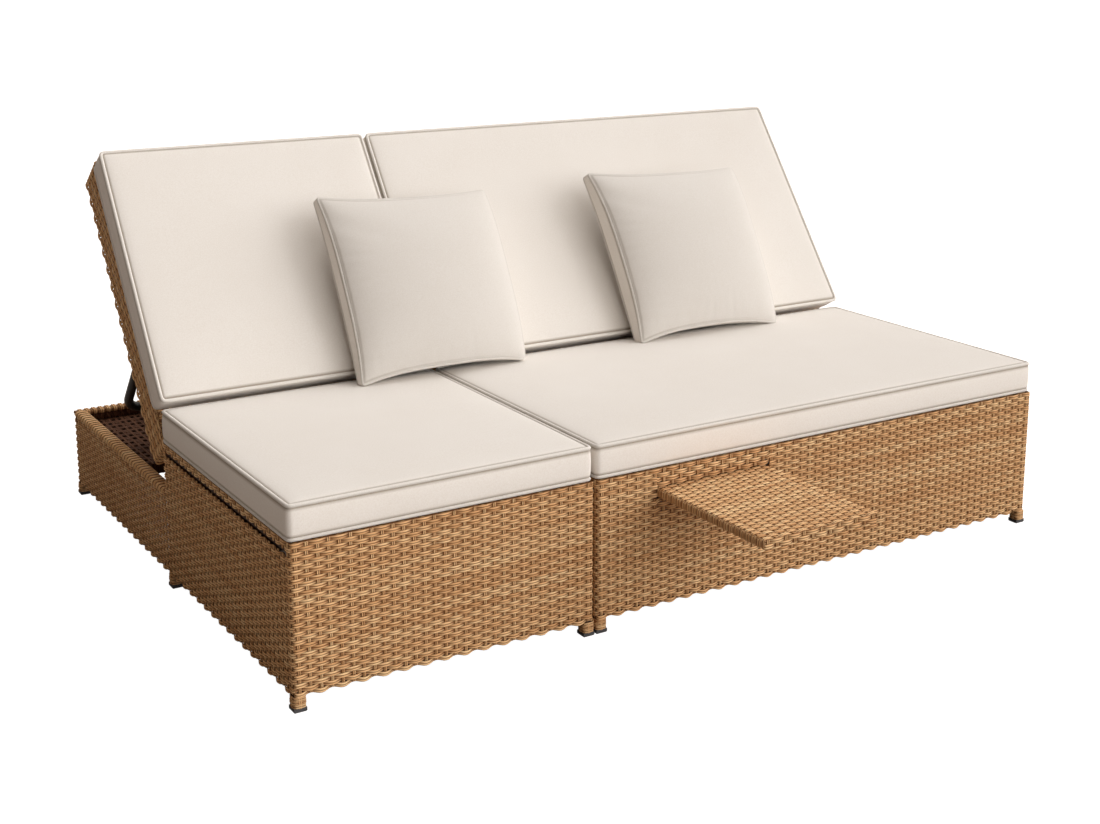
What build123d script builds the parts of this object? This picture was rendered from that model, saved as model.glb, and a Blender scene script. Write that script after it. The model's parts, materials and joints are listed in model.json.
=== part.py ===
# Double chaise lounger: two woven daybed modules side by side, a narrow one and a wide one.
# Each module is a seat box with a lower tray behind it. The back hinges at the seat box's rear
# edge and folds down over the tray, and a bent steel prop on notched racks holds it up.
# The wide module has a small pull-out table, and two throw pillows lean on the backs.
# Frame: +X right along the front, +Y to the rear, +Z up, millimetres.
# Origin: bottom centre of the whole lounger's box, with the table pulled out.
from build123d import *
from math import asin, cos, degrees, radians, sin, sqrt
import os

# Modules
left_width = 660.0
right_width = 1250.0
module_gap = 5.0
seat_depth = 710.0
tray_depth = 715.0
seat_height = 330.0
tray_step = 107.0

# Weave and frame tube
weave = 5.0
inner_wrap = 3.0
tube = 18.0
tube_wall = 1.5
weave_bottom = 31.0
cap_height = 9.0
cap_chamfer = 2.0
bottom_rail_gap = 5.0

# Tray deck
deck_drop = 28.0
deck_gap_depth = 270.0
deck_lip_height = 27.0

# Back and its hinge
back_length = 720.0
back_angle = 54.0
back_side_inset = 7.0
back_hinge_gap = 7.0
back_rest_clearance = 2.5
hinge_pin_radius = 4.0
hinge_ear_radius = 8.0
hinge_ear_thickness = 4.0
hinge_ear_gap = 0.5
hinge_flange_height = 40.0
hinge_flange_width = 30.0
hinge_flange_thickness = 3.0
hinge_slot_clearance = 2.0
pin_clearance = 0.05
pin_head_radius = 7.0
pin_head_length = 4.0
pin_head_gap = 0.2
lower_cross_offset = 28.0

# Prop
prop_diameter = 22.0
prop_wall = 1.5
prop_side_offset = 55.0
prop_bend_radius = 45.0
prop_pivot_along = 296.0
prop_pivot_drop = 30.0
prop_reach = 334.0
prop_end_length = 14.0
prop_pin_radius = 4.0
lug_thickness = 4.0
lug_gap = 4.0
lug_radius = 12.0

# Racks that the prop stands on
rack_side_offset = 175.0
rack_thickness = 6.0
rack_clearance = 1.4
rack_notch_depth = 5.0
rack_notch_clearance = 1.0
rack_notch_count = 5
rack_front_margin = 40.0
rack_rear_margin = 20.0
rack_flange_width = 24.0
rack_flange_thickness = 3.0
screw_head_radius = 3.0
screw_head_height = 3.0
screw_end_offset = 25.0

# Box cushions
cushion_thickness = 70.0
cushion_crown = 6.0
cushion_corner = 14.0
cushion_draw = 5.0
cushion_seat_gap = 0.3
seat_cushion_front_inset = 6.0
seat_cushion_overrun = 3.0
seat_cushion_side_inset = 1.0
back_cushion_lower_inset = 95.0
back_cushion_upper_inset = 15.0
back_cushion_side_inset = 3.0

# Throw pillows; the left one is placed from the narrow module's right side, the right one from the
# wide module's left side
pillow_size = 435.0
pillow_gusset = 36.0
pillow_crown = 44.0
pillow_corner = 24.0
pillow_draw = 9.0
pillow_angle = 62.0
pillow_clearance = 0.4
left_pillow_offset = 5.0
right_pillow_offset = 750.0

# Pull-out table, placed from the wide module's left side
table_left = 147.0
table_width = 293.0
table_reach = 347.0
table_kept_inside = 62.0
table_thickness = 23.0
table_drop = 40.0
table_frame_bar = 25.0
table_slot_clearance = 2.0
rail_clearance = 0.4
rail_wall = 2.0
rail_grip = 10.0
rail_length = 600.0
hanger_size = 14.0
stop_size = 12.0
stop_height = 7.0
stop_inset = 20.0
keeper_thickness = 3.0

# Shares of the seat box's depth at which its cross tubes lie
cross_tube_shares = (1 / 3, 2 / 3)

# Shares that shape the soft pieces, as (inset share, height share)
box_crown_shares = [(0.05, 0.35), (0.14, 0.70), (0.30, 0.93), (0.46, 1.0)]
pillow_crown_shares = [(0.06, 0.34), (0.16, 0.62), (0.32, 0.86), (0.46, 1.0)]

# Shares of a box cushion's crown that it has risen to where a pillow touches it
seat_touch_share = 0.44
back_touch_share = 0.76

# Places worked out from the sizes
total_width = left_width + module_gap + right_width
total_depth = seat_depth + tray_depth
tray_height = seat_height - tray_step
origin_x = total_width / 2
origin_y = (total_depth - table_reach) / 2
skin = weave + tube
rim_width = skin + inner_wrap
seat_rail_bottom = seat_height - skin
tray_rail_bottom = tray_height - skin
deck_top = tray_height - deck_drop
deck_front = seat_depth + deck_gap_depth
floor_rail_bottom = deck_top - skin
bottom_rail_bottom = weave_bottom + bottom_rail_gap
table_top = seat_height - table_drop

# Hinge axis of the backs, and the back's sizes when it lies flat
hinge_y = seat_depth + back_hinge_gap + weave + tube / 2
hinge_z = seat_height - weave - tube / 2
flat_start = seat_depth + back_hinge_gap
flat_end = flat_start + back_length
skirt_bottom = tray_height + back_rest_clearance
back_tube_bottom = seat_height - skin

# Prop: pivot in the flat back, and where its foot stands
pivot_y_flat = hinge_y + prop_pivot_along
pivot_z_flat = hinge_z - prop_pivot_drop
foot_z = pivot_z_flat


def turned(y, z, angle):
    """Place of a point of the flat back once the back is raised by the angle."""
    a = radians(angle)
    dy, dz = y - hinge_y, z - hinge_z
    return hinge_y + dy * cos(a) - dz * sin(a), hinge_z + dy * sin(a) + dz * cos(a)


def prop_foot_y(angle):
    """Place along Y of the prop's foot on the rack with the back raised by the angle."""
    y, z = turned(pivot_y_flat, pivot_z_flat, angle)
    return y + sqrt(prop_reach ** 2 - (z - foot_z) ** 2)


pivot_y, pivot_z = turned(pivot_y_flat, pivot_z_flat, back_angle)
prop_slope = degrees(asin((pivot_z - foot_z) / prop_reach))


def block(x0, x1, y0, y1, z0, z1):
    """Solid box between two corners."""
    size = Box(x1 - x0, y1 - y0, z1 - z0, align=(Align.MIN, Align.MIN, Align.MIN))
    return Pos(x0, y0, z0) * size


def tube_x(x0, x1, y0, z0):
    """Square tube along X."""
    outer = block(x0, x1, y0, y0 + tube, z0, z0 + tube)
    return outer - block(x0, x1, y0 + tube_wall, y0 + tube - tube_wall, z0 + tube_wall, z0 + tube - tube_wall)


def tube_y(x0, y0, y1, z0):
    """Square tube along Y."""
    outer = block(x0, x0 + tube, y0, y1, z0, z0 + tube)
    return outer - block(x0 + tube_wall, x0 + tube - tube_wall, y0, y1, z0 + tube_wall, z0 + tube - tube_wall)


def tube_z(x0, y0, z0, z1):
    """Square tube along Z."""
    outer = block(x0, x0 + tube, y0, y0 + tube, z0, z1)
    return outer - block(x0 + tube_wall, x0 + tube - tube_wall, y0 + tube_wall, y0 + tube - tube_wall, z0, z1)


def pin_x(x0, x1, y, z, radius):
    """Round bar along X."""
    bar = Cylinder(radius, x1 - x0, align=(Align.CENTER, Align.CENTER, Align.MIN))
    return Pos(x0, y, z) * Rot(0, 90, 0) * bar


def outline(width, depth, corner, bow, z):
    """Closed line of four bowed sides and four corner arcs; a bow above zero draws the sides in."""
    w, d = width / 2, depth / 2
    cut = corner * (1 - sqrt(0.5))
    quarter = [
        ((-w + corner, -d), (0, -d + bow), (w - corner, -d), (w - cut, -d + cut), (w, -d + corner)),
        ((w, -d + corner), (w - bow, 0), (w, d - corner), (w - cut, d - cut), (w - corner, d)),
        ((w - corner, d), (0, d - bow), (-w + corner, d), (-w + cut, d - cut), (-w, d - corner)),
        ((-w, d - corner), (-w + bow, 0), (-w, -d + corner), (-w + cut, -d + cut), (-w + corner, -d)),
    ]
    edges = []
    for start, side, end, bend, last in quarter:
        edges.append(ThreePointArc((*start, z), (*side, z), (*end, z)))
        edges.append(ThreePointArc((*end, z), (*bend, z), (*last, z)))
    return Wire(edges)


def crown_lines(width, depth, corner, bow, seam, crown, shares):
    """Outlines that climb from a seam to the crown over it."""
    side = min(width, depth)
    lines = []
    for inset_share, height_share in shares:
        w, d = width - 2 * inset_share * side, depth - 2 * inset_share * side
        shrink = 1 - 2 * inset_share
        lines.append(outline(w, d, corner * shrink, bow * shrink, seam + crown * height_share))
    return lines


def box_cushion(width, depth):
    """Box cushion lying flat, centred on the origin: drawn-in gusset and a crowned top."""
    corner, draw, seam = cushion_corner, cushion_draw, cushion_thickness
    lines = [
        outline(width, depth, corner, draw, 0),
        outline(width - draw, depth - draw, corner, draw, seam / 2),
        outline(width, depth, corner, draw, seam),
    ]
    lines += crown_lines(width, depth, corner, draw, seam, cushion_crown, box_crown_shares)
    return Solid.make_loft(lines, ruled=True)


def throw_pillow():
    """Pillow lying flat, centred on the origin: a narrow gusset between two deep crowns."""
    half = pillow_gusset / 2
    size = pillow_size
    front = crown_lines(size, size, pillow_corner, pillow_draw, half, pillow_crown, pillow_crown_shares)
    rear = crown_lines(size, size, pillow_corner, pillow_draw, -half, -pillow_crown, pillow_crown_shares)
    seams = [outline(size, size, pillow_corner, pillow_draw, -half),
             outline(size, size, pillow_corner, pillow_draw, half)]
    return Solid.make_loft(rear[::-1] + seams + front, ruled=True)


def leg_places(width):
    """Lower corner of each leg tube and the height of its top."""
    right = width - skin
    seat_rear = seat_depth - skin
    tray_rear = total_depth - skin
    return [(x, y, top) for x in (weave, right) for y, top in
            ((weave, seat_rail_bottom), (seat_rear, seat_rail_bottom), (tray_rear, tray_rail_bottom))]


def base_frame(width):
    """Steel tubes of the seat box and the tray, each cut square against the next."""
    inner, right = skin, width - skin
    seat_rear, tray_rear = seat_depth - skin, total_depth - skin
    parts = [tube_z(x, y, cap_height, top) for x, y, top in leg_places(width)]
    for y in (weave, seat_rear):
        parts.append(tube_x(weave, width - weave, y, seat_rail_bottom))
    for share in cross_tube_shares:
        parts.append(tube_x(inner, right, skin + share * (seat_rear - skin) - tube / 2, seat_rail_bottom))
    for x in (weave, right):
        parts.append(tube_y(x, skin, seat_rear, seat_rail_bottom))
        parts.append(tube_y(x, skin, seat_rear, bottom_rail_bottom))
        parts.append(tube_y(x, seat_depth, tray_rear, tray_rail_bottom))
        parts.append(tube_y(x, seat_depth, tray_rear, bottom_rail_bottom))
        parts.append(tube_y(x, deck_front + skin, tray_rear, floor_rail_bottom))
    for y in (weave, seat_rear, tray_rear):
        parts.append(tube_x(inner, right, y, bottom_rail_bottom))
    parts.append(tube_x(weave, width - weave, tray_rear, tray_rail_bottom))
    parts.append(tube_x(inner, right, tray_rear, floor_rail_bottom))
    parts.append(tube_x(weave, width - weave, deck_front + weave, floor_rail_bottom))
    for x in rack_places(width):
        left = x + (rack_thickness - tube) / 2
        parts.append(tube_y(left, deck_front + skin, tray_rear, floor_rail_bottom))
    return parts


def rack_places(width):
    """Left side of each rack plate."""
    return rack_side_offset, width - rack_side_offset - rack_thickness


def leg_outside(x, y):
    """Lower corner of the square that a leg fills with its weave; the tube lies nearer the outside."""
    return [place - (weave if place == weave else inner_wrap) for place in (x, y)]


def leg_sleeves(width):
    """Woven sleeves round the short legs below the skins."""
    sleeves = []
    for x, y, top in leg_places(width):
        left, front = leg_outside(x, y)
        outer = block(left, left + rim_width, front, front + rim_width, cap_height, weave_bottom)
        sleeves.append(outer - block(x, x + tube, y, y + tube, cap_height, weave_bottom))
    return sleeves


def leg_caps(width):
    """Plastic cap under each leg."""
    caps = []
    for x, y, top in leg_places(width):
        left, front = leg_outside(x, y)
        cap = block(left, left + rim_width, front, front + rim_width, 0, cap_height)
        caps.append(chamfer(cap.edges().group_by(Axis.Z)[0], cap_chamfer))
    return caps


def tray_rim(width):
    """Woven wrap over the tray's top rails: a top strip with an inner wall down to the deck."""
    strips = []
    rear = total_depth - rim_width
    for left, inner in ((weave, skin), (width - rim_width, width - rim_width)):
        top = block(left, left + rim_width - weave, seat_depth, rear, tray_height - weave, tray_height)
        wall = block(inner, inner + inner_wrap, seat_depth, rear, deck_top, tray_height - weave)
        strips.append(top + wall)
    top = block(weave, width - weave, rear, total_depth - weave, tray_height - weave, tray_height)
    wall = block(skin, width - skin, rear, total_depth - skin, deck_top, tray_height - weave)
    strips.append(top + wall)
    return strips


def tray_deck(width):
    """Recessed woven floor of the tray with its front lip."""
    floor = block(skin, width - skin, deck_front, total_depth - skin, deck_top - weave, deck_top)
    lip_bottom = deck_top - deck_lip_height
    lip = block(skin, width - skin, deck_front, deck_front + weave, lip_bottom, deck_top - weave)
    return floor + lip


def prop_racks(width):
    """Notched plates on the tray deck that the prop's foot stands on."""
    top = foot_z - prop_diameter / 2 - rack_clearance
    feet = [prop_foot_y(back_angle * n / (rack_notch_count - 1)) for n in range(rack_notch_count)]
    front, rear = min(feet) - rack_front_margin, max(feet) + rack_rear_margin
    notch = prop_diameter / 2 + rack_notch_clearance
    racks = []
    for x in rack_places(width):
        plate = block(x, x + rack_thickness, front, rear, deck_top, top)
        for y in feet:
            plate -= pin_x(x, x + rack_thickness, y, top + notch - rack_notch_depth, notch)
        middle = x + rack_thickness / 2
        flange = block(middle - rack_flange_width / 2, middle + rack_flange_width / 2, front, rear,
                       deck_top, deck_top + rack_flange_thickness)
        racks.append(plate + flange)
    return racks


def rack_screws(width):
    """Screws that hold the racks' flanges down through the deck."""
    feet = [prop_foot_y(back_angle), prop_foot_y(0)]
    front, rear = min(feet) - rack_front_margin, max(feet) + rack_rear_margin
    screws = []
    for x in rack_places(width):
        for side in (-1, 1):
            middle = x + rack_thickness / 2 + side * (rack_flange_width + rack_thickness) / 4
            for y in (front + screw_end_offset, rear - screw_end_offset):
                head = Pos(middle, y, deck_top + rack_flange_thickness + screw_head_height / 2)
                screws.append(head * Cylinder(screw_head_radius, screw_head_height))
    return screws


def ear_places(width):
    """Left side of each hinge ear on the base, just inside the back's side tubes."""
    inside = back_side_inset + skin + hinge_ear_gap
    return inside, width - inside - hinge_ear_thickness


def hinge_brackets(width):
    """Flanges on the seat's rear face, each with an ear for the hinge pin."""
    brackets = []
    for x in ear_places(width):
        inward = 0 if x < width / 2 else hinge_ear_thickness - hinge_flange_width
        low, high = hinge_z - hinge_flange_height, hinge_z + hinge_ear_radius
        flange_rear = seat_depth + hinge_flange_thickness
        flange = block(x + inward, x + inward + hinge_flange_width, seat_depth, flange_rear,
                       low, hinge_z - hinge_ear_radius)
        flange += block(x, x + hinge_ear_thickness, seat_depth, flange_rear, low, high)
        arm = block(x, x + hinge_ear_thickness, seat_depth, hinge_y, hinge_z - hinge_ear_radius, high)
        eye = pin_x(x, x + hinge_ear_thickness, hinge_y, hinge_z, hinge_ear_radius)
        hole = pin_x(x, x + hinge_ear_thickness, hinge_y, hinge_z, hinge_pin_radius + pin_clearance)
        brackets.append(flange + arm + eye - hole)
    return brackets


def hinge_pins(width):
    """Pins through the side tubes and the ears, with their heads inside the ears."""
    pins = []
    for x in ear_places(width):
        if x < width / 2:
            shaft_start, head_start = back_side_inset + weave, x + hinge_ear_thickness + pin_head_gap
            shaft_end, head_end = head_start, head_start + pin_head_length
        else:
            shaft_end, head_end = width - back_side_inset - weave, x - pin_head_gap
            shaft_start, head_start = head_end, head_end - pin_head_length
        shaft = pin_x(shaft_start, shaft_end, hinge_y, hinge_z, hinge_pin_radius)
        pins.append(shaft + pin_x(head_start, head_end, hinge_y, hinge_z, pin_head_radius))
    return pins


def back_frame(width):
    """Square tubes of the back, lying flat."""
    left, right = back_side_inset + weave, width - back_side_inset - skin
    start, end = flat_start + weave, flat_end - weave
    frame = [tube_y(x, start, end, back_tube_bottom) for x in (left, right)]
    holes = [pin_x(x, x + tube, hinge_y, hinge_z, hinge_pin_radius) for x in (left, right)]
    frame = [side - hole for side, hole in zip(frame, holes)]
    for y in (hinge_y + lower_cross_offset - tube / 2, pivot_y_flat - tube / 2, end - tube):
        frame.append(tube_x(left + tube, right, y, back_tube_bottom))
    return frame


def ear_slots(width):
    """Room for the hinge ears through the back's lower edge."""
    reach = hinge_ear_radius + hinge_slot_clearance
    slots = []
    for x in ear_places(width):
        slots.append(block(x - hinge_ear_gap, x + hinge_ear_thickness + hinge_ear_gap,
                           flat_start, hinge_y + reach, hinge_z - reach, seat_height))
    return slots


def back_panel(width):
    """Woven front of the back, lying flat."""
    panel = block(back_side_inset, width - back_side_inset, flat_start, flat_end,
                  seat_height - weave, seat_height)
    for slot in ear_slots(width):
        panel -= slot
    return panel


def back_skirt(width):
    """Four woven walls round the back, lying flat; the back is open behind."""
    left, right = back_side_inset, width - back_side_inset
    top = seat_height - weave
    sides = [block(x, x + weave, flat_start, flat_end, skirt_bottom, top) for x in (left, right - weave)]
    ends = [block(left + weave, right - weave, y, y + weave, skirt_bottom, top)
            for y in (flat_start, flat_end - weave)]
    for slot in ear_slots(width):
        ends[0] -= slot
    return sides + ends


def prop_sides(width):
    """Middle of each leg of the prop."""
    return prop_side_offset, width - prop_side_offset


def prop_lugs(width):
    """Pairs of plates under the back's middle cross tube that hold the prop's pins."""
    lugs = []
    reach = prop_diameter / 2 + lug_gap
    for middle in prop_sides(width):
        for x in (middle - reach - lug_thickness, middle + reach):
            plate = block(x, x + lug_thickness, pivot_y_flat - lug_radius, pivot_y_flat + lug_radius,
                          pivot_z_flat, back_tube_bottom)
            plate += pin_x(x, x + lug_thickness, pivot_y_flat, pivot_z_flat, lug_radius)
            lugs.append(plate - pin_x(x, x + lug_thickness, pivot_y_flat, pivot_z_flat, prop_pin_radius))
    return lugs


def prop_pins(width):
    """Pins through the lugs and the prop's legs, with a head at each end."""
    pins = []
    reach = prop_diameter / 2 + lug_gap + lug_thickness
    for middle in prop_sides(width):
        pin = pin_x(middle - reach, middle + reach, pivot_y_flat, pivot_z_flat, prop_pin_radius)
        for x in (middle - reach - pin_head_length, middle + reach):
            pin += pin_x(x, x + pin_head_length, pivot_y_flat, pivot_z_flat, pin_head_radius)
        pins.append(pin)
    return pins


def prop(width):
    """Bent round tube: two legs and a foot bar, pointing along +Y from its pivots."""
    left, right = prop_sides(width)
    foot = pivot_y_flat + prop_reach
    path = FilletPolyline((left, pivot_y_flat - prop_end_length, pivot_z_flat), (left, foot, pivot_z_flat),
                          (right, foot, pivot_z_flat), (right, pivot_y_flat - prop_end_length, pivot_z_flat),
                          radius=prop_bend_radius)
    start = Plane(origin=path @ 0, z_dir=path % 0)
    outer = sweep(start * Circle(prop_diameter / 2), path=path)
    bore = sweep(start * Circle(prop_diameter / 2 - prop_wall), path=path)
    bent = outer - bore
    for middle in (left, right):
        bent -= pin_x(middle - prop_diameter, middle + prop_diameter, pivot_y_flat, pivot_z_flat,
                      prop_pin_radius + pin_clearance)
    return bent


def seat_cushion(width):
    """Box cushion on the seat deck."""
    rear = seat_depth + seat_cushion_overrun
    cushion = box_cushion(width - 2 * seat_cushion_side_inset, rear - seat_cushion_front_inset)
    return Pos(width / 2, (seat_cushion_front_inset + rear) / 2, seat_height + cushion_seat_gap) * cushion


def back_cushion(width):
    """Box cushion on the flat back."""
    start, end = flat_start + back_cushion_lower_inset, flat_end - back_cushion_upper_inset
    cushion = box_cushion(width - 2 * back_cushion_side_inset, end - start)
    return Pos(width / 2, (start + end) / 2, seat_height + cushion_seat_gap) * cushion


def raised(shape):
    """Turn a piece of the flat back up about the hinge axis."""
    return Pos(0, hinge_y, hinge_z) * Rot(back_angle, 0, 0) * Pos(0, -hinge_y, -hinge_z) * shape


def propped(shape):
    """Turn the prop from the flat back down until its foot stands on the racks."""
    moved = Pos(0, pivot_y - pivot_y_flat, pivot_z - pivot_z_flat) * shape
    return Pos(0, pivot_y, pivot_z) * Rot(-prop_slope, 0, 0) * Pos(0, -pivot_y, -pivot_z) * moved


def pillow_middle():
    """Place along Y and Z of a pillow that stands on the seat cushion and leans on the back cushion."""
    tilt = radians(pillow_angle - back_angle)
    lean = radians(pillow_angle)
    back = radians(back_angle)
    half_sizes = [(pillow_size / 2, pillow_gusset / 2)]
    for inset_share, height_share in pillow_crown_shares:
        half_size = pillow_size * (1 - 2 * inset_share) / 2
        half_sizes.append((half_size, pillow_gusset / 2 + pillow_crown * height_share))
    rear_reach = max(h * sin(tilt) + t * cos(tilt) for h, t in half_sizes) + pillow_clearance
    down_reach = max(h * sin(lean) + t * cos(lean) for h, t in half_sizes) + pillow_clearance
    seam = seat_height + cushion_seat_gap + cushion_thickness
    middle_z = seam + cushion_crown * seat_touch_share + down_reach
    face_y, face_z = turned(flat_start, seam + cushion_crown * back_touch_share, back_angle)
    along = (middle_z - face_z - rear_reach * cos(back)) / sin(back)
    return face_y + along * cos(back) - rear_reach * sin(back), middle_z


def pillow_tip_edge():
    """Place along Y and Z of a pillow's lower front seam, over which it tips forward."""
    y, z = pillow_middle()
    lean = radians(pillow_angle)
    down, out = pillow_size / 2, pillow_gusset / 2
    return y - down * cos(lean) - out * sin(lean), z - down * sin(lean) + out * cos(lean)


def pillow_at(x):
    """Throw pillow in its place on the seat."""
    return Pos(x, *pillow_middle()) * Rot(pillow_angle, 0, 0) * throw_pillow()


def table_pieces():
    """The pull-out table, in the wide module's own place."""
    left, right = table_left, table_left + table_width
    front, rear = -table_reach, table_kept_inside
    top = table_top
    bottom = table_top - table_thickness
    inner = block(left + weave, right - weave, front + weave, rear - weave, bottom + weave, top - weave)
    sleeve = block(left, right, front, rear, bottom, top) - inner
    bars = [block(x, x + table_frame_bar, front + weave, rear - weave, bottom + weave, top - weave)
            for x in (left + weave, right - weave - table_frame_bar)]
    bars += [block(left + weave + table_frame_bar, right - weave - table_frame_bar, y, y + table_frame_bar,
                   bottom + weave, top - weave)
             for y in (front + weave, rear - weave - table_frame_bar)]
    stop_front = weave + keeper_thickness + rail_clearance
    stops = [block(x, x + stop_size, stop_front, stop_front + stop_size, top, top + stop_height)
             for x in (left + stop_inset, right - stop_inset - stop_size)]
    return sleeve, bars, stops


def table_rails():
    """Channels that grip the table's edges, with hangers up to the seat's cross tubes."""
    left, right = table_left, table_left + table_width
    low = table_top - table_thickness - rail_clearance
    high = table_top + rail_clearance
    start, end = weave + keeper_thickness, weave + keeper_thickness + rail_length
    parts = []
    for edge, out in ((left, -1), (right, 1)):
        web_near = edge + out * rail_clearance
        web_far = web_near + out * rail_wall
        lip = edge - out * rail_grip
        web = block(min(web_near, web_far), max(web_near, web_far), start, end,
                    low - rail_wall, high + rail_wall)
        for z in (low - rail_wall, high):
            web += block(min(lip, web_far), max(lip, web_far), start, end, z, z + rail_wall)
        parts.append(web)
        hanger = web_far if out > 0 else web_far - hanger_size
        for share in cross_tube_shares:
            y = skin + share * (seat_depth - 2 * skin)
            parts.append(block(hanger, hanger + hanger_size, y - hanger_size / 2, y + hanger_size / 2,
                               low - rail_wall, seat_rail_bottom))
    return parts


def table_keeper():
    """Strip under the front top rail that stops the table when it is pulled out."""
    margin = rail_grip + stop_size / 2
    left, right = table_left + margin, table_left + table_width - margin
    low = table_top + table_slot_clearance
    return block(left, right, weave, weave + keeper_thickness, low, seat_rail_bottom)


def front_panel(width, with_slot):
    """Woven front skin; the wide module's has a slot for the table."""
    panel = block(weave, width - weave, 0, weave, weave_bottom, seat_height)
    if with_slot:
        gap = table_slot_clearance
        panel -= block(table_left - gap, table_left + table_width + gap, 0, weave,
                       table_top - table_thickness - gap, table_top + gap)
    return panel


def cross_panel(width, rear, top):
    """Woven skin across the module, facing the rear."""
    return block(weave, width - weave, rear - weave, rear, weave_bottom, top)


def module_nodes(width, with_table):
    """All pieces of one module in its own place, with its left front corner at zero."""
    nodes = {
        "base_frame": base_frame(width) + ([table_keeper()] if with_table else []),
        "leg_sleeves": leg_sleeves(width),
        "leg_caps": leg_caps(width),
        "front_panel": front_panel(width, with_table),
        "seat_rear_panel": cross_panel(width, seat_depth, seat_height),
        "tray_rear_panel": cross_panel(width, total_depth, tray_height),
        "tray_rim": tray_rim(width),
        "seat_deck": block(weave, width - weave, weave, seat_depth - weave, seat_height - weave, seat_height),
        "tray_deck": tray_deck(width),
        "prop_racks": prop_racks(width),
        "hinge_brackets": hinge_brackets(width),
        "seat_cushion": seat_cushion(width),
    }
    for side, x in (("left", 0), ("right", width - weave)):
        nodes[side + "_seat_panel"] = block(x, x + weave, 0, seat_depth, weave_bottom, seat_height)
        nodes[side + "_tray_panel"] = block(x, x + weave, seat_depth, total_depth, weave_bottom, tray_height)
    flat_back = {
        "hinge_pins": hinge_pins(width),
        "back_frame": back_frame(width),
        "back_panel": back_panel(width),
        "back_skirt": back_skirt(width),
        "prop_lugs": prop_lugs(width),
        "prop_pins": prop_pins(width),
        "back_cushion": back_cushion(width),
    }
    for name, shapes in flat_back.items():
        nodes[name] = [raised(shape) for shape in shapes] if isinstance(shapes, list) else raised(shapes)
    nodes["prop"] = propped(prop(width))
    return nodes


def save(name, shapes, x=0):
    """Move a node into the lounger's frame and write it."""
    group = shapes if isinstance(shapes, list) else [shapes]
    place = Pos(x - origin_x, -origin_y, 0)
    solids = [solid for shape in group for solid in (place * shape).solids()]
    export_step(solids[0] if len(solids) == 1 else Compound(children=solids), "parts/" + name + ".step")


os.makedirs("parts", exist_ok=True)
right_x = left_width + module_gap
for module, width, x, with_table in (("left", left_width, 0, False), ("right", right_width, right_x, True)):
    for node, shapes in module_nodes(width, with_table).items():
        save(module + "_" + node, shapes, x)
save("rack_screws", rack_screws(left_width) + [Pos(right_x, 0, 0) * s for s in rack_screws(right_width)])
table_sleeve, table_bars, table_stops = table_pieces()
save("table_sleeve", table_sleeve, right_x)
save("table_frame", table_bars, right_x)
save("table_stops", table_stops, right_x)
save("table_rails", table_rails(), right_x)
save("left_pillow", pillow_at(left_width - left_pillow_offset))
save("right_pillow", pillow_at(right_x + right_pillow_offset))

print("hinge axis y, z:", hinge_y - origin_y, hinge_z)
print("prop pivot y, z:", pivot_y - origin_y, pivot_z, "slope:", prop_slope)
print("prop foot y, z:", prop_foot_y(back_angle) - origin_y, foot_z)
tip_y, tip_z = pillow_tip_edge()
print("pillow tip edge y, z:", tip_y - origin_y, tip_z)
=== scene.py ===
import json
from math import cos, pi, radians, sin

import bpy
import numpy as np
from mathutils import Matrix, Vector


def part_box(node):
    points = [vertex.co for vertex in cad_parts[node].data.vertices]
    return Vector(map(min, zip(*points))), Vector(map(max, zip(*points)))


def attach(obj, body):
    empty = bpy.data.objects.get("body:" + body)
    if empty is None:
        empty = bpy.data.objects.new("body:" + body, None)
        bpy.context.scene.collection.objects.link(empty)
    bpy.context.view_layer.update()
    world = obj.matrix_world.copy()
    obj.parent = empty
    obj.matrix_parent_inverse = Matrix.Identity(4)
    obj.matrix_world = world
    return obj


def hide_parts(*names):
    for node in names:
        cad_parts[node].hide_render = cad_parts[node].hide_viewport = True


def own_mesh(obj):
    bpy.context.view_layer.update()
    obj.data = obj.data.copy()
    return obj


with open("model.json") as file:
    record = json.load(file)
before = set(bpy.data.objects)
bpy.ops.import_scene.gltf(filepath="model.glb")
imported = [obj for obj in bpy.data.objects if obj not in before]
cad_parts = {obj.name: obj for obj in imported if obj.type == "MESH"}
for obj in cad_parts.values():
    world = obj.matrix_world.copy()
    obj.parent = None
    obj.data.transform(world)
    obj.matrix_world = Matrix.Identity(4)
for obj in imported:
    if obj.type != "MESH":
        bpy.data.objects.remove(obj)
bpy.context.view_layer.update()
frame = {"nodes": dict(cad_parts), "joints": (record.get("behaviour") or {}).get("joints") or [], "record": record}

rng = np.random.default_rng(7)
nodes = frame["nodes"]
joints = {joint["name"]: joint for joint in frame["joints"]}
up_z = np.array([0.0, 0.0, 1.0])

# Weave: rows over and under stakes, and how many samples a row has from stake to stake
row_pitch = 0.00865
stake_pitch = 0.022
panel_depth = 0.0029
wave_height = 0.0020
wave_sharpness = 1.4
row_wander = 0.00015
shown_detail = 4
hidden_detail = 2
joint_overlap = 0.003
wall_rim = 0.005
sleeve_depth = 0.0006
sleeve_rows = 3
leg_width = 0.026

# Section of a strand: heights over its middle, and its ridges in shares of its half width; then the painted shade
# in its groove and where it dives behind a stake
strand_width = 0.0104
stake_width = 0.0074
strand_lift = 0.0010
strand_edge = -0.0010
strand_groove = -0.0002
strand_back = -0.0014
ridge_outer = 0.66
ridge_inner = 0.34
groove_shade = 0.25
dive_shade = 0.35

# Corners, hems and stakes; stake_swing sets how much painted dive shade the stakes get
corner_radius = 0.006
corner_steps = (0.0, 0.33, 0.67)
hem_wave = 0.0020
hem_rows = 2
hem_clearance = 0.003
stake_tuck = 0.001
stake_swing = 0.4

# Slits of the seat's sides, and the table's slot, where rows close up by shares of their pitch
slit_drop = 0.0170
slit_height = 0.0085
slit_margin = 0.016
slit_spread = 0.0018
slit_wave = 0.0016
slit_narrowing = 0.84
hole_reach = 0.25
closed_share = 0.45
closing_rows = 3
table_gap = 0.0015
table_edge_wave = 0.0005

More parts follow.
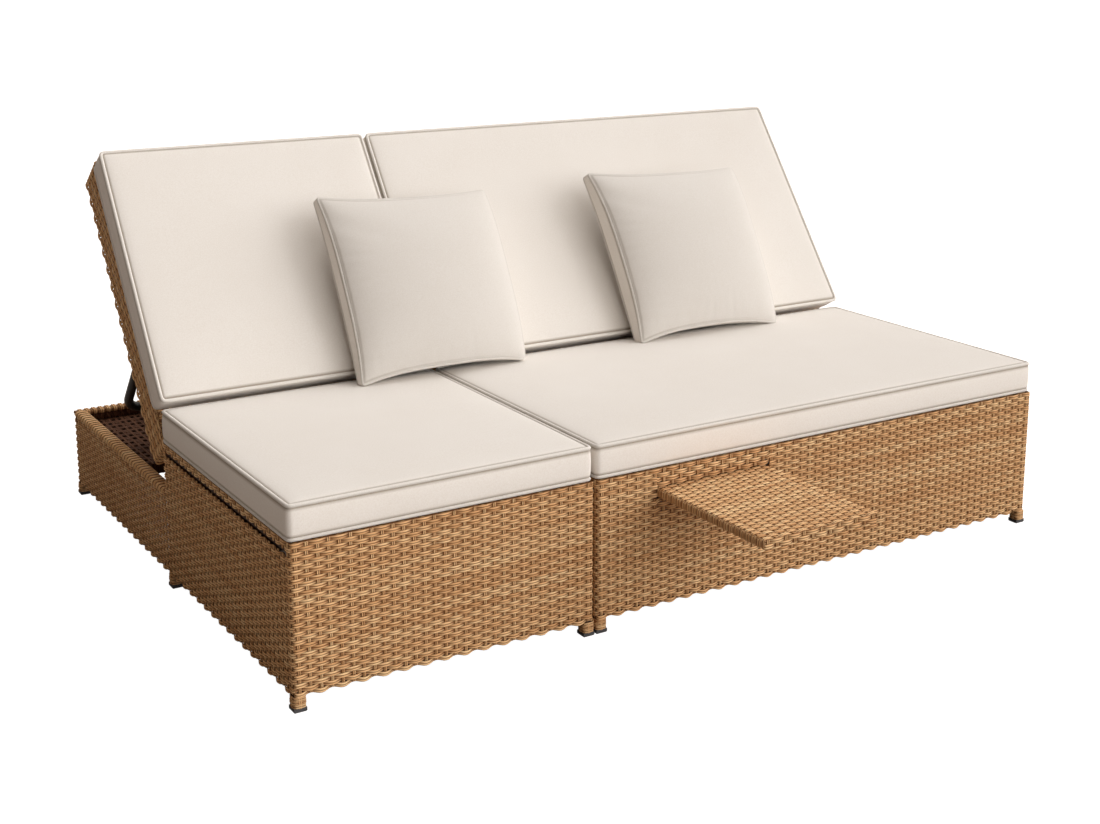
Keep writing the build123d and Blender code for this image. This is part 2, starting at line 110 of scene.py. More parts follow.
# Back skirt, and the level skins of the backs and seats
skirt_spread = 1.12
skirt_clearance = 0.0035
skirt_drop = 0.001
ear_reach = 0.010
ear_gap = 0.001
skin_sink = 0.0008
skin_inset = 0.002

# Strands wrapped over the tray's rails, and the wall below them; every second wrap is darkened with painted shade
rim_width = 0.026
rim_side = 0.0012
rim_sink = 0.0028
rim_lap = 0.008
rim_drop = 0.008
rim_corner = 0.004
wrap_lift = 0.0022
sunk_wrap_painted_shade = -0.75
wall_setback = -0.0015
wall_lift = 0.0003
wall_lap = 0.002

# Tray deck: bands of rows, slots between them, cords across the slots and a lip in front
deck_period = 0.030
deck_slot = 0.0150
deck_rows = 2
deck_stake_pitch = 0.016
deck_cycle = 3
deck_wave = 0.0005
deck_flatness = 0.5
deck_sink = 0.0025
deck_cord = (1.1, 0.6)
cord_lap = 0.002
lip_wave = 0.001

# Shells of cloth: the rounded corners of their grid, the crease beside the piping, and the width of the painted
# shade in it
corner_cells = 3
seam_reach = 0.0026
crease_share = 0.8
painted_crease_shade_width = 0.55
cloth_quality = 6
cloth_mass = 0.3

# Box cushions
cushion_corner = 0.012
cushion_cell = 0.014
cushion_crown = 0.006
cushion_gusset_swell = 0.0015
cushion_pipe = 0.0041
cushion_pressure = 3.0
cushion_lift = 0.0004
underside_share = 0.05
cushion_edge_rows = (0.0083, 0.0125)
back_side_swell = 0.002
back_lower_reach = 0.014
back_reach_length = 0.08
back_reach_foot = 0.3

# Throw pillows
pillow_size = 0.435
pillow_cell = 0.0105
pillow_corner = 0.011
pillow_crown = 0.038
pillow_fullness = 0.62
pillow_back_fullness = 0.7
pillow_swell = 0.010
pillow_gusset_swell = 0.004
pillow_pressure = 8.0
pillow_cloth = {"frames": 24, "tension": 12.0, "bending": 0.05}
pillow_pipe = 0.0030
pillow_edge_rows = (0.0060, 0.0105)
pillow_ear_share = 0.5
pillow_lean = radians(62)
pillow_stand = 0.009
# How much the painted crease shade fades from a pillow's left side to its right
pillow_painted_crease_shade_fade = 0.8

# Folds of the pillows, in radians a metre along the seam, and how far they run in
fold_height = 0.0016
fold_pitch = 160
fold_group_pitch = 41
fold_slant = 0.25
fold_slant_pitch = 23
fold_bend = 2.5
fold_bend_pitch = 31
fold_reach = 0.09
fold_start = 0.012
fold_top_share = 0.35

# Gusset widths of the pillows, how far the sides of each are drawn in (left, right, lower, upper), and how
# far its corners are pulled out, in the order of pillow_corners
pillow_gussets = {"left": 0.051, "right": 0.058}
pillow_draws = (0.012, -0.009, 0.017, 0.012)
pillow_corners = ((-1, 1), (1, 1), (-1, -1), (1, -1))
pillow_ears = {"left": ((-0.003, 0.016), (0.005, -0.003), (0.004, -0.004), (0.002, -0.001)),
               "right": ((-0.018, 0.015), (0.007, -0.005), (0.008, -0.007), (0.008, -0.009))}

# Colours: strands from light to dark and the painted shade of their grooves and dives, a darker copy of them as
# painted shade for the tray's deck and inner wall, cloth from dark to light, and the painted shade of its creases
white = (1.0, 1.0, 1.0)
tan_tones = ((1.0, 0.72, 0.40), (0.86, 0.515, 0.25), (0.60, 0.31, 0.13), (0.13, 0.055, 0.024))
painted_shade_tones = ((0.23, 0.11, 0.06), (0.17, 0.08, 0.045), (0.12, 0.052, 0.03), (0.45, 0.4, 0.38))
cloth_tones = ((0.725, 0.68, 0.625), (0.755, 0.715, 0.665), (0.78, 0.745, 0.70))
painted_crease_shade_tone = (0.46, 0.42, 0.37)
floor_tone = (0.34, 0.30, 0.27, 1)
left_tone, right_tone = (1.0, 0.76, 0.58), (1.0, 0.99, 0.98)

# Stretch of the streaks along a strand, shares of a strand's own tone and of the cloth's mottling, and
# lightness of face and gusset cloths, the gusset cloth made lighter as painted light
streak_stretch = (4.0, 420.0, 90.0)
tone_share = 0.16
mottle_share = 0.35
cushion_face_and_painted_light_gusset = (1.0, 1.18)
pillow_face_and_painted_light_gusset = (0.88, 1.12)

# Floor, and lights as name, strength, spread in degrees and the direction towards them
floor_reach = 40.0
floor_side_margin = 0.035
floor_front_margin = 0.08
floor_rear_margin = 0.11
suns = (("key", 1.8, 62, (0.80, -0.42, 0.42)), ("front", 1.6, 60, (0.25, -0.96, 0.10)),
        ("top", 1.26, 50, (0.22, 0.28, 0.93)))
left_fill = 0.06
right_fill = 0.60

# Camera, fitted to corners of the photograph, with its image width in pixels
image_width = 1100
focal_pixels = 1613.5
camera_shift = -0.12
camera_place = (-1.9905, -3.1233, 1.4031)
camera_yaw = radians(31.536)
camera_pitch = radians(12.017)
sensor = 36.0


def vec(*values):
    """Point or direction as an array."""
    return np.array(values, dtype=float)


def unit(rows):
    """Rows scaled to length one."""
    return rows / np.linalg.norm(rows, axis=1)[:, None]


def section(width):
    """Section of a strand as (across, out) points: two round ridges with a groove, and a back."""
    half = width / 2
    outer, inner = ridge_outer * half, ridge_inner * half
    return np.array([(-half, strand_edge), (-outer, strand_lift), (-inner, strand_lift),
                     (0.0, strand_groove), (inner, strand_lift), (outer, strand_lift), (half, strand_edge),
                     (0.0, strand_back)])


strand_section = section(strand_width)
stake_section = section(stake_width)
plain_section = np.array([(-strand_width / 2, 0.0), (0.0, strand_lift), (strand_width / 2, 0.0),
                          (0.0, strand_back)])


class Strands:
    """Collects the closed strips of one woven piece and turns them into one mesh."""

    def __init__(self):
        self.points, self.faces, self.grain, self.strand_painted_shade = [], [], [], []
        self.count = 0

    def add(self, centre, out, across, outline, swing=1.0):
        """One strip along centre; out and across are its directions, for all points or at each."""
        centre = np.asarray(centre)
        out, across = np.broadcast_to(out, centre.shape), np.broadcast_to(across, centre.shape)
        rings, sides = len(centre), len(outline)
        tone = rng.random()
        # Painted shade: the strand darkens in its groove and at its edges, and where it dives behind a stake
        ridge = np.clip((outline[:, 1] - strand_groove) / (strand_lift - strand_groove), 0, 1)
        stand = 0.5 + 0.5 * np.broadcast_to(swing, rings)
        strand_painted_shade = np.outer(dive_shade + (1 - dive_shade) * stand, groove_shade + (1 - groove_shade) * ridge)
        points = centre[:, None] + across[:, None] * outline[:, :1] + out[:, None] * outline[:, 1:]
        run = np.concatenate([[0.0], np.cumsum(np.linalg.norm(np.diff(centre, axis=0), axis=1))])
        grain = np.stack(np.broadcast_arrays(run[:, None], outline[:, 0], tone), axis=-1)
        ring = np.arange(rings - 1)[:, None] * sides
        side = np.arange(sides)
        after = (side + 1) % sides
        quads = np.stack([ring + side, ring + sides + side, ring + sides + after, ring + after], axis=-1)
        j = np.arange(sides // 2 - 1)
        cap = np.stack([j, j + 1, sides - 2 - j, sides - 1 - j], axis=-1)
        quads = np.concatenate([quads.reshape(-1, 4), cap, cap[:, ::-1] + (rings - 1) * sides])
        if np.dot(np.cross(across[0], out[0]), centre[1] - centre[0]) < 0:
            quads = quads[:, ::-1]
        self.points.append(points.reshape(-1, 3))
        self.grain.append(grain.reshape(-1, 3))
        self.strand_painted_shade.append(strand_painted_shade.ravel())
        self.faces.append(quads + self.count)
        self.count += rings * sides

    def piece(self, name, material, turn=Matrix.Identity(4)):
        """Blender object of everything collected so far."""
        piece = mesh_object(name, turned(np.concatenate(self.points), turn), np.concatenate(self.faces),
                            np.concatenate(self.grain), material)
        attribute(piece.data, "strand_painted_shade", np.concatenate(self.strand_painted_shade))
        return piece

    def skin(self, node, material, body="root", turn=Matrix.Identity(4)):
        """The piece, in place of the CAD node of a woven skin."""
        place(self.piece(node + "_weave", material, turn), body, "wicker", node)


def turned(points, matrix):
    """Points moved by a matrix."""
    matrix = np.array(matrix)
    return points @ matrix[:3, :3].T + matrix[:3, 3]


def attribute(mesh, name, values, kind="FLOAT", key="value"):
    """Values at the points of a mesh, for its material to read."""
    made = mesh.attributes.new(name, kind, "POINT")
    made.data.foreach_set(key, np.asarray(values, dtype=np.float32).ravel())


def in_scene(name, data):
    """New object in the scene."""
    made = bpy.data.objects.new(name, data)
    bpy.context.scene.collection.objects.link(made)
    return made


def mesh_object(name, points, faces, grain, material):
    """Smooth-shaded object with the grain attribute that the materials read."""
    mesh = bpy.data.meshes.new(name)
    mesh.from_pydata(points, [], faces, shade_flat=False)
    attribute(mesh, "grain", grain, "FLOAT_VECTOR", "vector")
    mesh.materials.append(material)
    return in_scene(name, mesh)


def place(piece, body, slot, replaced):
    """Tie a piece to its body, and let it stand for its CAD node; its finish slot is not used."""
    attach(piece, body)
    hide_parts(replaced)


class Side:
    """One flat woven wall: it runs from start to end, rises along up and faces to its right."""

    def __init__(self, start, end, up, height, parity=0, rounded=(True, True), spacing=stake_pitch):
        self.start, self.up = start, up
        self.length = float(np.linalg.norm(end - start))
        self.along = (end - start) / self.length
        self.outward = np.cross(self.along, up)
        self.height, self.parity, self.rounded = height, parity, rounded
        self.stakes = max(1, round(self.length / spacing))
        self.pitch = self.length / self.stakes

    def samples(self, per_stake, start, end):
        """Where a row is sampled between two places: close together at the corners."""
        places = np.arange(self.stakes * per_stake + 1) * self.pitch / per_stake
        low = corner_radius if self.rounded[0] and start <= 0 else start
        high = self.length - corner_radius if self.rounded[1] and end >= self.length else end
        apart = self.pitch / per_stake / 3
        inner = places[(places > low + apart) & (places < high - apart)]
        arc = corner_radius * np.array(corner_steps)
        head = arc if low > start else np.array([])
        tail = self.length - arc[::-1] if high < end else np.array([])
        return np.concatenate([head, [low], inner, [high], tail])

    def base(self, x):
        """Points of the wall's middle surface at the distances x, and directions out of it."""
        centre = self.start + self.along * x[:, None]
        out = np.tile(self.outward, (len(x), 1))
        for end, sign in ((0, -1.0), (1, 1.0)):
            if not self.rounded[end]:
                continue
            past = corner_radius - x if end == 0 else x - (self.length - corner_radius)
            bent = past > 0
            angle = (past[bent] / corner_radius * pi / 4)[:, None]
            corner = self.start if end == 0 else self.start + self.along * self.length
            middle = corner - sign * self.along * corner_radius - self.outward * corner_radius
            out[bent] = self.outward * np.cos(angle) + sign * self.along * np.sin(angle)
            centre[bent] = middle + out[bent] * corner_radius
        return centre, out


def spans(low, high, cuts):
    """What the cuts leave between low and high."""
    left = []
    for start, end in sorted(cuts):
        if start > low:
            left.append((low, start))
        low = max(low, end)
    if high > low:
        left.append((low, high))
    return left


def row_shifts(middle, pitch, holes, cuts):
    """How a row shifts beside holes that don't cut it: (x0, x1, shift, whether it also waves)."""
    shifts = []
    for x0, x1, t0, t1, spread in holes:
        reach = (closing_rows if spread is None else 1) + hole_reach
        if t0 - reach * pitch < middle < t1 + reach * pitch and (x0, x1) not in cuts:
            away = np.sign(middle - t0)
            edge = t1 if away > 0 else t0
            rank = int(max(0.0, abs(middle - edge) / pitch - hole_reach))
            closed = edge + away * (closed_share + rank) * pitch - middle
            closed *= 1 - rank / closing_rows
            shifts.append((x0, x1, closed if spread is None else away * spread, bool(spread)))
    return shifts


def weave(strands, side, holes=(), hem=True, detail=shown_detail, outline=strand_section, levels=None,
          wave=wave_height, bare=False):
    """Rows over and under the stakes of one wall; bare leaves the stakes out.

    Holes are (x0, x1, t0, t1, spread): the rows beside one part by spread, or close up to it for None.
    """
    if levels is None:
        rows = round(side.height / row_pitch)
        levels = (np.arange(rows) + 0.5) * side.height / rows
    pitch = levels[1] - levels[0]
    outline = outline * vec(pitch / row_pitch, 1.0)
    near = pitch * hole_reach
    for row, middle in enumerate(levels):
        cuts = [(x0, x1) for x0, x1, t0, t1, spread in holes if t0 - near < middle < t1 + near]
        shifts = row_shifts(middle, pitch, holes, cuts)
        wander = rng.normal(0, row_wander)
        for x0, x1 in spans(0.0, side.length, cuts):
            x = side.samples(detail, x0, x1)
            centre, out = side.base(x)
            swing = np.cos(pi * (x / side.pitch - 0.5) + pi * (row + side.parity))
            rise = np.full(len(x), middle + wander)
            if hem and row < hem_rows:
                rise -= hem_wave * (1 - row / hem_rows) * swing
            for start, end, shift, wavy in shifts:
                rise += np.where((x > start) & (x < end), shift - slit_wave * swing * wavy, 0.0)
            dive = wave * np.tanh(wave_sharpness * swing) / np.tanh(wave_sharpness)
            centre = centre + out * dive[:, None] + side.up * rise[:, None]
            narrow = vec(slit_narrowing if shifts and shifts[0][3] else 1.0, 1.0)
            # The painted dive shade is scaled down with the wave height
            strands.add(centre, out, side.up, outline * narrow, swing * min(1.0, wave / wave_height))
    if bare:
        return
    foot = hem_clearance if hem else -stake_tuck
    for stake in range(side.stakes):
        x = (stake + 0.5) * side.pitch + rng.normal(0, row_wander)
        low, high = x - stake_width / 2, x + stake_width / 2
        cuts = [(t0, t1) for x0, x1, t0, t1, spread in holes if x0 < high and low < x1]
        for t0, t1 in spans(foot, side.height, cuts):
            centre = [side.start + side.along * x + side.up * t for t in (t0, t1)]
            # Stakes get a little painted dive shade
            strands.add(centre, side.outward, side.along, stake_section, stake_swing)


def ring(corners, up, height, closed=True):
    """Walls from corner to corner, anticlockwise seen against up, and back to the first if closed."""
    sides, parity = [], 0
    ends = corners[1:] + (corners[:1] if closed else [])
    for n, (start, end) in enumerate(zip(corners, ends)):
        rounded = (closed or n > 0, closed or n < len(ends) - 1)
        sides.append(Side(start, end, up, height, parity, rounded))
        parity += sides[-1].stakes
    return sides


def rectangle(low, high, z, inset=panel_depth):
    """Corners of an upright box's plan at height z, anticlockwise from the low corner."""
    x0, y0, x1, y1 = low[0] + inset, low[1] + inset, high[0] - inset, high[1] - inset
    return [vec(x0, y0, z), vec(x1, y0, z), vec(x1, y1, z), vec(x0, y1, z)]


def level_side(low, high, level, inset=0.0, spacing=stake_pitch):
    """Level skin over a box's plan, with its rows along X."""
    start, end = rectangle(low, high, level, inset)[:2]
    return Side(start, end, vec(0, 1, 0), high.y - low.y - 2 * inset, 0, (False, False), spacing)


def between_sides(module, part):
    """Box from a module's left panel to its right one."""
    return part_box(module + "_left" + part)[0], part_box(module + "_right" + part)[1]


def wall_skin(module, name, wall, wicker, holes=()):
    """Piece of one wall, with fewer samples where the other module or the tray hides it."""
    inner = "right_" if module == "left" else "left_"
    hidden = name == "seat_rear_panel" or name.startswith(inner)
    strands = Strands()
    weave(strands, wall, holes, detail=hidden_detail if hidden else shown_detail)
    strands.skin(module + "_" + name, wicker)


def seat_box(module, wicker):
    """Woven walls of a seat box; a slit runs under the top band of its sides."""
    low, high = between_sides(module, "_seat_panel")
    walls = ring(rectangle(low, high, low.z), up_z, high.z - low.z)
    slit_top = walls[0].height - slit_drop
    for name, wall in zip(("front_panel", "right_seat_panel", "seat_rear_panel", "left_seat_panel"), walls):
        holes = []
        if name.endswith("seat_panel"):
            holes = [(slit_margin, wall.length - slit_margin, slit_top - slit_height, slit_top, slit_spread)]
        if module == "right" and name == "front_panel":
            table_low, table_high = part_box("table_sleeve")
            holes = [(table_low.x - low.x - table_gap, table_high.x - low.x + table_gap,
                      table_low.z - low.z - table_gap, table_high.z - low.z + table_gap, None)]
        wall_skin(module, name, wall, wicker, holes)


def tray_box(module, wicker):
    """Woven walls of the tray behind the seat box, open to the front."""
    low, high = between_sides(module, "_tray_panel")
    x0, x1 = low.x + panel_depth, high.x - panel_depth
    front, rear = low.y - joint_overlap, high.y - panel_depth
    corners = [vec(x1, front, low.z), vec(x1, rear, low.z), vec(x0, rear, low.z), vec(x0, front, low.z)]
    walls = ring(corners, up_z, high.z - low.z - wall_rim, closed=False)
    for name, wall in zip(("right_tray_panel", "tray_rear_panel", "left_tray_panel"), walls):
        wall_skin(module, name, wall, wicker)


def bent_line(corners, radius=0.0, steps=4):
    """Polyline through corners with each inner corner rounded, and its left-hand normals."""
    corners = np.array(corners)
    sides = unit(np.diff(corners, axis=0))[:, ::-1] * vec(-1, 1)
    points, normals = [corners[0]], [sides[0]]
    for corner, before, after in zip(corners[1:-1], sides, sides[1:]):
        for step in range(steps + 1):
            share = step / steps
            blend = before * cos(share * pi / 2) + after * sin(share * pi / 2)
            points.append(corner - (before + after) * radius + blend * radius)
            normals.append(blend)
    points.append(corners[-1])
    normals.append(sides[-1])
    return np.array(points), np.array(normals)


def wraps(strands, line, start, along, inward, length, lift_step):
    """Strands wrapped across a rail, side by side; every second one stands a little proud, and the others get
    painted shade.
    """
    count = round(length / row_pitch)
    pitch = length / count
    base, out = (part[:, :1] * inward + part[:, 1:] * up_z for part in line)
    for n in range(count):
        centre = start + along * ((n + 0.5) * pitch) + base + out * (lift_step * (n % 2))
        # Every second wrap is darkened with painted shade
        strands.add(centre, out, along, strand_section, 1.0 if n % 2 else sunk_wrap_painted_shade)


def tray_rim(module, wicker, inner_painted_shade_wicker):
    """Strands wrapped over the tray's rails, and the inner wall below them, darkened with painted shade."""
    low, high = between_sides(module, "_tray_panel")
    deck_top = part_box(module + "_tray_deck")[1].z
    top = high.z - rim_sink
    inner = top - rim_drop
    rim = bent_line([(rim_side, top - rim_lap), (rim_side, top), (rim_width, top), (rim_width, inner)],
                    rim_corner)
    wall = bent_line([(rim_width + wall_setback, inner + wall_lap), (rim_width + wall_setback, deck_top)])
    side_length = high.y - low.y - rim_width
    rear_length = high.x - low.x - 2 * rim_side
    for name, line, material, lift in (("rim_wrap", rim, wicker, wrap_lift),
                                       ("inner_wall", wall, inner_painted_shade_wicker, wall_lift)):
        strands = Strands()
        for x, sign in ((low.x, 1.0), (high.x, -1.0)):
            wraps(strands, line, vec(x, low.y, 0), vec(0, 1, 0), vec(sign, 0, 0), side_length, lift)
        wraps(strands, line, vec(low.x + rim_side, high.y, 0), vec(1, 0, 0), vec(0, -1, 0), rear_length,
              lift)
        place(strands.piece(module + "_tray_" + name, material), "root", "wicker", module + "_tray_rim")


def tray_deck(module, wicker):
    """Open-weave deck: bands of rows, and slots that cords cross at every third bay."""
    low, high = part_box(module + "_tray_deck")
    strands = Strands()
    bays = round((high.y - low.y) / deck_period)
    period = (high.y - low.y) / bays
    band = (period - deck_slot) / deck_rows
    level = high.z - deck_sink
    side = level_side(low, high, level, spacing=deck_stake_pitch)
    for bay in range(bays):
        levels = bay * period + deck_slot + (np.arange(deck_rows) + 0.5) * band
        weave(strands, side, hem=False, detail=1, outline=strand_section * vec(1.0, deck_flatness),
              levels=levels, wave=deck_wave, bare=bay > 0)
        for gap in range(side.stakes - 1):
            if (gap + bay) % deck_cycle:
                continue
            x = low.x + (gap + 1) * side.pitch
            y = low.y + bay * period
            # Cords across the slots get half of the painted dive shade
            strands.add([(x, y - cord_lap, level), (x, y + deck_slot + cord_lap, level)], up_z, vec(1, 0, 0),
                        plain_section * vec(*deck_cord), 0.0)
    lip_rows = round((high.x - low.x) / row_pitch)
    pitch = (high.x - low.x) / lip_rows
    for n in range(lip_rows):
        x = low.x + (n + 0.5) * pitch
        y = low.y + lip_wave - lip_wave * (n % 2)
        # Every second lip strand gets painted dive shade
        strands.add([(x, y, high.z - lip_wave), (x, y, low.z)], vec(0, -1, 0), vec(1, 0, 0), strand_section,
                    float(n % 2))
    strands.skin(module + "_tray_deck", wicker)


def leg_sleeves(module, wicker):
    """Short woven sleeves round the legs below the walls."""
    low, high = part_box(module + "_leg_sleeves")
    seat_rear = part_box(module + "_left_seat_panel")[1].y
    height = high.z - low.z
    levels = (np.arange(sleeve_rows) + 0.5) * height / sleeve_rows
    strands = Strands()
    for x in (low.x, high.x - leg_width):
        for y in (low.y, seat_rear - leg_width, high.y - leg_width):
            corner = vec(x, y, low.z)
            for side in ring(rectangle(corner, corner + leg_width, low.z, sleeve_depth), up_z, height):
                weave(strands, side, hem=False, levels=levels, wave=sleeve_depth)
    strands.skin(module + "_leg_sleeves", wicker)


def back_turn(module):
    """Matrix that raises the flat back of a module to where it rests."""
    joint = joints[module + "_recline"]
    hinge = Vector(joint["pos_m"])
    angle = -radians(joint["range_deg"][0])
    return Matrix.Translation(hinge) @ Matrix.Rotation(angle, 4, "X") @ Matrix.Translation(-hinge)


def node_points(node):
    """Points of a CAD node's mesh."""
    return np.array([vertex.co[:] for vertex in nodes[node].data.vertices])


def flat_box(module, part):
    """Box of a part of the back once the back is laid flat."""
    points = turned(node_points(module + part), back_turn(module).inverted())
    return Vector(points.min(axis=0)), Vector(points.max(axis=0))


def hinge_ears(module):
    """Low and high x of the hinge ears, which are what the brackets have behind the hinge axis."""
    hinge = joints[module + "_recline"]["pos_m"]
    points = node_points(module + "_hinge_brackets")
    x = points[points[:, 1] > hinge[1], 0]
    return [(part.min(), part.max()) for part in (x[x < hinge[0]], x[x > hinge[0]])]


def seat_back(module, wicker):
    """Woven front and skirt of a back, made flat and raised; slots leave room for the hinge ears."""
    turn = back_turn(module)
    hinge_z = joints[module + "_recline"]["pos_m"][2]
    low, high = flat_box(module, "_back_skirt")
    top = flat_box(module, "_back_panel")[1].z
    foot = low.z + skirt_clearance
    front, *others = ring(rectangle(low, high, foot), up_z, top - foot - skirt_drop)
    slots = [(x0 - front.start[0] - ear_gap, x1 - front.start[0] + ear_gap, hinge_z - ear_reach - foot,
              front.height, 0.0) for x0, x1 in hinge_ears(module)]
    strands = Strands()
    for side, holes in [(front, slots)] + [(side, ()) for side in others]:
        weave(strands, side, holes, outline=strand_section * vec(skirt_spread, 1.0))
    strands.skin(module + "_back_skirt", wicker, module + "_back", turn)
    strands = Strands()
    side = level_side(low, high, top - panel_depth - skin_sink, skin_inset)
    weave(strands, side, hem=False, detail=hidden_detail)
    strands.skin(module + "_back_panel", wicker, module + "_back", turn)


def seat_deck(module, wicker):
    """Woven deck under a seat cushion."""
    low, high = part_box(module + "_seat_deck")
    strands = Strands()
    side = level_side(low, high, high.z - panel_depth - skin_sink)
    weave(strands, side, hem=False, detail=hidden_detail, outline=plain_section)
    strands.skin(module + "_seat_deck", wicker)


def table_top(wicker):
    """Woven sleeve of the pull-out table, with its front end closed."""
    low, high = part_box("table_sleeve")
    x0, x1 = low.x + panel_depth, high.x - panel_depth
    z0, z1 = low.z + panel_depth, high.z - panel_depth
    corners = [vec(x0, high.y, z0), vec(x1, high.y, z0), vec(x1, high.y, z1), vec(x0, high.y, z1)]
    strands = Strands()
    for n, side in enumerate(ring(corners, vec(0, -1, 0), high.y - low.y - panel_depth)):
        edge = n % 2 == 1
        weave(strands, side, hem=False, bare=edge, wave=table_edge_wave if edge else wave_height)
    front = low.y + panel_depth
    weave(strands, Side(vec(x0, front, z0), vec(x1, front, z0), up_z, z1 - z0), hem=False)
    strands.skin("table_sleeve", wicker, "table")


def panel_grid(size, cell, corner):
    """Grid lines along one side, closer together at the rounded corners."""
    inner = size / 2 - corner
    straight = np.linspace(-inner, inner, max(2, round(2 * inner / cell)) + 1)
    bend = np.linspace(inner, size / 2, corner_cells + 1)[1:]
    return np.concatenate([-bend[::-1], straight, bend])


def round_corners(x, y, width, depth, corner):
    """Bends the corners of a grid on a rectangle into arcs."""
    px = (np.abs(x) - (width / 2 - corner)) / corner
    py = (np.abs(y) - (depth / 2 - corner)) / corner
    inside = (px > 0) & (py > 0)
    qx = np.where(inside, px * np.sqrt(np.clip(1 - py ** 2 / 2, 0, 1)), px)
    qy = np.where(inside, py * np.sqrt(np.clip(1 - px ** 2 / 2, 0, 1)), py)
    return (np.sign(x) * np.where(inside, width / 2 - corner + qx * corner, np.abs(x)),
            np.sign(y) * np.where(inside, depth / 2 - corner + qy * corner, np.abs(y)))


class Shell:
    """Closed box of fabric above z = 0: two faces on a grid and a gusset between their edges."""

    def __init__(self, width, depth, height, corner, cell, edge_rows, ear_share=0.0):
        xs, ys = panel_grid(width, cell, corner), panel_grid(depth, cell, corner)
        nx, ny = len(xs), len(ys)
        gx, gy = np.meshgrid(xs, ys, indexing="ij")
        px, py = round_corners(gx, gy, width, depth, corner)
        ear = 1 - ear_share * np.abs(4 * gx * gy / (width * depth)).ravel() ** 3
        index = np.arange(nx * ny).reshape(nx, ny)
        rim = np.concatenate([index[:-1, 0], index[-1, :-1], index[:0:-1, -1], index[0, :0:-1]])
        flat = np.stack([px.ravel(), py.ravel()], axis=1)
        points = [np.c_[flat, height * (0.5 + side * ear / 2)] for side in (1, -1)]
        inner = np.linspace(edge_rows[-1], height - edge_rows[-1], 3)[1:-1]
        levels = [height - row for row in edge_rows] + list(inner) + list(edge_rows[::-1])
        loops, gaps = [rim], [0.0]
        for n, level in enumerate(levels):
            points.append(np.c_[flat[rim], height / 2 + (level - height / 2) * ear[rim]])
            loops.append(2 * nx * ny + n * len(rim) + np.arange(len(rim)))
            gaps.append(min(level, height - level))
        loops.append(rim + nx * ny)
        gaps.append(0.0)
        quads = np.stack([index[:-1, :-1], index[1:, :-1], index[1:, 1:], index[:-1, 1:]], axis=-1)
        quads = quads.reshape(-1, 4)
        faces = [quads, quads[:, ::-1] + nx * ny]
        for upper, lower in zip(loops, loops[1:]):
            faces.append(np.stack([upper, lower, np.roll(lower, -1), np.roll(upper, -1)], axis=-1))
        self.points, self.faces = np.concatenate(points), np.concatenate(faces)
        self.seams = (rim, rim + nx * ny)
        self.on_gusset = np.arange(len(self.faces)) >= 2 * len(quads)
        self.painted_crease_shade_weight = np.ones(len(self.points))
        self.loops, self.loop_gaps = loops, gaps
        ahead = np.roll(flat[rim], -1, axis=0) - np.roll(flat[rim], 1, axis=0)
        self.rim_out = unit(np.stack([ahead[:, 1], -ahead[:, 0]], axis=1))
        self.top, self.bottom = np.arange(nx * ny), np.arange(nx * ny, 2 * nx * ny)
        self.gusset = np.arange(2 * nx * ny, len(self.points))
        self.height, self.depth = height, depth
        self.edge_gap = np.minimum(width / 2 - np.abs(gx), depth / 2 - np.abs(gy)).ravel()

    def tuck(self, points, pipe):
        """Draws faces and gusset in beside the piping, so that it stands in a crease."""
        points = points.copy()

        def fall(gap):
            beside = crease_share * np.exp(-np.abs(gap - 2 * pipe) / seam_reach)
            return pipe * np.where(gap < pipe, 1.0, beside)

        points[self.top, 2] -= fall(self.edge_gap)
        points[self.bottom, 2] += fall(self.edge_gap)
        for loop, gap in zip(self.loops, self.loop_gaps):
            points[loop, :2] -= self.rim_out * fall(gap)
        return points

    def painted_crease_shade(self, pipe):
        """Painted shade in the crease beside the piping at each point, from 0 to 1, times each point's weight."""

        def shade(gap):
            return np.exp(-((gap - 2 * pipe) / (painted_crease_shade_width * pipe)) ** 2)

        values = np.zeros(len(self.points))
        values[self.top] = values[self.bottom] = shade(self.edge_gap)
        for loop, gap in zip(self.loops[1:-1], self.loop_gaps[1:-1]):
            values[loop] = shade(gap)
        return values * self.painted_crease_shade_weight


def inflate(shell, pressure, swell, gusset_swell, frames=20, tension=25.0, bending=0.5):
    """Cloth simulation of a shell under pressure, its seams held and its swelling limited."""
    cap = np.full(len(shell.points), swell)
    cap[shell.gusset] = gusset_swell
    scene = bpy.context.scene
    mesh = bpy.data.meshes.new("sim")
    mesh.from_pydata(shell.points, [], shell.faces)
    cloth_object = in_scene("sim", mesh)
    held = np.sort(np.concatenate(shell.seams)).tolist()
    cloth_object.vertex_groups.new(name="pins").add(held, 1.0, "REPLACE")
    cloth = cloth_object.modifiers.new("cloth", "CLOTH")
    settings = cloth.settings
    settings.quality = cloth_quality
    settings.mass = cloth_mass
    settings.tension_stiffness = settings.compression_stiffness = tension
    settings.shear_stiffness = tension / 2
    settings.bending_stiffness = bending
    settings.vertex_group_mass = "pins"
    settings.use_pressure = True
    settings.uniform_pressure_force = pressure
    settings.effector_weights.gravity = 0
    cloth.point_cache.frame_end = frames
    for n in range(1, frames + 1):
        scene.frame_set(n)
    result = cloth_object.evaluated_get(bpy.context.evaluated_depsgraph_get())
    moved = np.array([vertex.co[:] for vertex in result.data.vertices]) - shell.points
    scene.frame_set(1)
    bpy.data.objects.remove(cloth_object)
    size = np.linalg.norm(moved, axis=1)
    limit = cap * (1 - np.exp(-size / cap))
    return shell.points + moved * (limit / np.maximum(size, 1e-9))[:, None]


